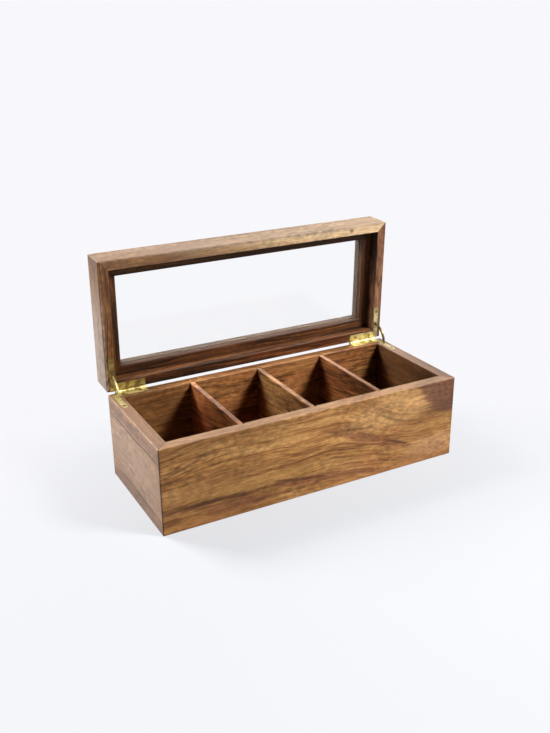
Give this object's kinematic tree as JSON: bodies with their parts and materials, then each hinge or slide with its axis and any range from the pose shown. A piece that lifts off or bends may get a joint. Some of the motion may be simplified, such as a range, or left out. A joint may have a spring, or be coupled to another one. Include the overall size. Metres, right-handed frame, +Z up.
{
  "type": "tea bag organizer box",
  "caption": "Lidded wooden tea bag box with open compartments in a row, a framed glass window in the lid and brass stay hinges along the back.",
  "frame": {"origin": "centre of the box body on the surface that it stands on", "axes": "+X along the box to its right end, +Y from the front to the hinges at the back, +Z up"},
  "size_m": [0.32, 0.1625, 0.2205],
  "materials": {
    "front_wood": "satin oiled, tan brown with dark wavy streaks along the length",
    "end_wood": "satin oiled, greyer brown with fine level streaks",
    "lid_wood": "satin oiled, mid brown with streaks along each rail",
    "bead_wood": "satin oiled, dark red brown",
    "inner_wood": "matt, mid brown",
    "brass": "polished, lightly worn",
    "glass": "clear, polished edges"
  },
  "bodies": {
    "box": {"front_board": "front_wood", "back_board": "front_wood", "left_end_board": "end_wood", "right_end_board": "end_wood", "bottom_panel": "inner_wood", "left_divider": "inner_wood", "middle_divider": "inner_wood", "right_divider": "inner_wood", "left_box_leaf": "brass", "right_box_leaf": "brass", "left_hinge_pin": "brass", "right_hinge_pin": "brass", "box_leaf_screws": "brass"},
    "lid": {"lid_front_rail": "lid_wood", "lid_back_rail": "lid_wood", "lid_left_stile": "lid_wood", "lid_right_stile": "lid_wood", "glass_pane": "glass", "front_bead": "bead_wood", "back_bead": "bead_wood", "left_bead": "bead_wood", "right_bead": "bead_wood", "left_lid_leaf": "brass", "right_lid_leaf": "brass", "lid_leaf_screws": "brass"},
    "left_stay": {"left_stay_arm": "brass"},
    "right_stay": {"right_stay_arm": "brass"}
  },
  "joints": [
    {"name": "lid_hinge", "type": "hinge", "parent": "box", "child": "lid", "pos_m": [0, 0.06735, 0.08625], "axis": [1, 0, 0], "range_deg": [0, 88.2]},
    {"name": "left_stay_swing", "type": "hinge", "parent": "box", "child": "left_stay", "pos_m": [-0.1538, 0.06735, 0.08625], "axis": [1, 0, 0], "range_deg": [0, 44.1]},
    {"name": "right_stay_swing", "type": "hinge", "parent": "box", "child": "right_stay", "pos_m": [0.1538, 0.06735, 0.08625], "axis": [1, 0, 0], "range_deg": [0, 44.1]}
  ],
  "couplings": [
    {"joint": "left_stay_swing", "follows": "lid_hinge", "ratio": 0.5},
    {"joint": "right_stay_swing", "follows": "lid_hinge", "ratio": 0.5}
  ]
}
